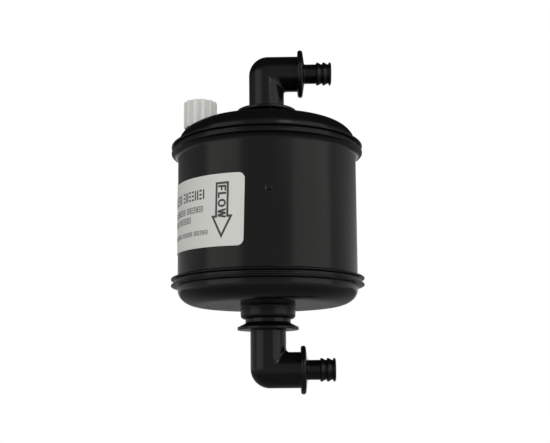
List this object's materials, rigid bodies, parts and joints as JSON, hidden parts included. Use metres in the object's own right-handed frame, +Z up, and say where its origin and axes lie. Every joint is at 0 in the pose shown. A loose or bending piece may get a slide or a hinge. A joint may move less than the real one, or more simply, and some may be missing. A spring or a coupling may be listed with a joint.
{
  "type": "capsule filter",
  "caption": "Black welded capsule filter with a pleated element, elbow hose tails that swivel at both ends, a fluted white vent cap and a wrap-round label.",
  "frame": {"origin": "on the capsule's axis, at the middle of the housing wall, halfway between the two weld planes", "axes": "+Z up the capsule's axis towards the inlet, +X the way both hose tails point at rest, the vent on the -X side"},
  "size_m": [0.0624, 0.0624, 0.1132],
  "materials": {
    "housing_plastic": "satin moulded black polypropylene",
    "elbow_plastic": "satin moulded black polypropylene",
    "vent_plastic": "natural white moulded polypropylene",
    "seal_rubber": "smooth black rubber",
    "element_plastic": "natural white moulded polypropylene",
    "medium_fibre": "white non-woven fibre",
    "label_film": "matt white label film with dark print"
  },
  "bodies": {
    "capsule": {"housing_body": "housing_plastic", "top_cap": "housing_plastic", "bottom_cap": "housing_plastic", "element_top_plate": "element_plastic", "element_bottom_plate": "element_plastic", "outer_cage": "element_plastic", "inner_core": "element_plastic", "upstream_support": "medium_fibre", "filter_medium": "medium_fibre", "downstream_support": "medium_fibre", "label": "label_film"},
    "inlet_fitting": {"inlet_elbow": "elbow_plastic", "inlet_o_ring": "seal_rubber"},
    "outlet_fitting": {"outlet_elbow": "elbow_plastic", "outlet_o_ring": "seal_rubber"},
    "vent_lift_seal": {"vent_seal": "seal_rubber"},
    "vent_knob": {"vent_cap": "vent_plastic"}
  },
  "joints": [
    {"name": "inlet_swivel", "type": "hinge", "parent": "capsule", "child": "inlet_fitting", "pos_m": [0, 0, 0.03185], "axis": [0, 0, 1], "continuous": true},
    {"name": "outlet_swivel", "type": "hinge", "parent": "capsule", "child": "outlet_fitting", "pos_m": [0, 0, -0.03325], "axis": [0, 0, 1], "continuous": true},
    {"name": "vent_lift", "type": "slide", "parent": "capsule", "child": "vent_lift_seal", "axis": [0, 0, 1], "range_m": [0, 0.0015]},
    {"name": "vent_turn", "type": "hinge", "parent": "vent_lift_seal", "child": "vent_knob", "pos_m": [-0.0219, 0, 0.02985], "axis": [0, 0, 1], "range_deg": [0, 360]}
  ],
  "couplings": [
    {"joint": "vent_turn", "follows": "vent_lift", "rad_per_m": 4188.7}
  ]
}
